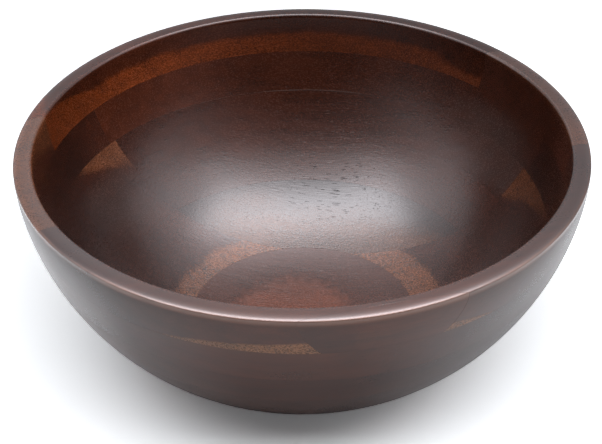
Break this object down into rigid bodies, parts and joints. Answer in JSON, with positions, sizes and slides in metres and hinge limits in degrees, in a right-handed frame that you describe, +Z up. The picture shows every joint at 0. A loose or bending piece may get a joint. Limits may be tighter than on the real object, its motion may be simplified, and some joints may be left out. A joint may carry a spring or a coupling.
{
  "type": "wooden bowl",
  "caption": "Deep round serving bowl turned from stacked layers of edge-glued boards, with a plain rim and a small flat foot.",
  "frame": {"origin": "middle of the foot's flat underside, on the surface the bowl stands on", "axes": "+Z up along the turning axis, -Y towards the viewer in the picture, +X to the viewer's right"},
  "size_m": [0.3, 0.3, 0.125],
  "materials": {
    "rim_back_board": "dark stain under satin lacquer",
    "rim_left_board": "dark stain under satin lacquer",
    "rim_right_board": "dark stain under satin lacquer",
    "rim_front_board": "dark stain under satin lacquer",
    "rim_edge_strip": "dark stain under satin lacquer",
    "second_back_board": "dark stain under satin lacquer",
    "second_left_board": "dark stain under satin lacquer",
    "second_right_board": "dark stain under satin lacquer",
    "second_front_board": "dark stain under satin lacquer",
    "third_back_board": "dark stain under satin lacquer",
    "third_left_board": "dark stain under satin lacquer",
    "third_right_board": "dark stain under satin lacquer",
    "third_front_board": "dark stain under satin lacquer",
    "fourth_back_board": "dark stain under satin lacquer",
    "fourth_left_board": "dark stain under satin lacquer",
    "fourth_right_board": "dark stain under satin lacquer",
    "fourth_front_board": "dark stain under satin lacquer",
    "fifth_back_board": "dark stain under satin lacquer",
    "fifth_left_board": "dark stain under satin lacquer",
    "fifth_right_board": "dark stain under satin lacquer",
    "fifth_front_board": "dark stain under satin lacquer",
    "base_back_board": "dark stain under satin lacquer",
    "base_centre_board": "dark stain under satin lacquer",
    "base_front_board": "dark stain under satin lacquer"
  },
  "bodies": {
    "root": {"rim_back_board": "rim_back_board", "rim_left_board": "rim_left_board", "rim_right_board": "rim_right_board", "rim_front_board": "rim_front_board", "rim_edge_strip": "rim_edge_strip", "second_back_board": "second_back_board", "second_left_board": "second_left_board", "second_right_board": "second_right_board", "second_front_board": "second_front_board", "third_back_board": "third_back_board", "third_left_board": "third_left_board", "third_right_board": "third_right_board", "third_front_board": "third_front_board", "fourth_back_board": "fourth_back_board", "fourth_left_board": "fourth_left_board", "fourth_right_board": "fourth_right_board", "fourth_front_board": "fourth_front_board", "fifth_back_board": "fifth_back_board", "fifth_left_board": "fifth_left_board", "fifth_right_board": "fifth_right_board", "fifth_front_board": "fifth_front_board", "base_back_board": "base_back_board", "base_centre_board": "base_centre_board", "base_front_board": "base_front_board"}
  },
  "joints": []
}
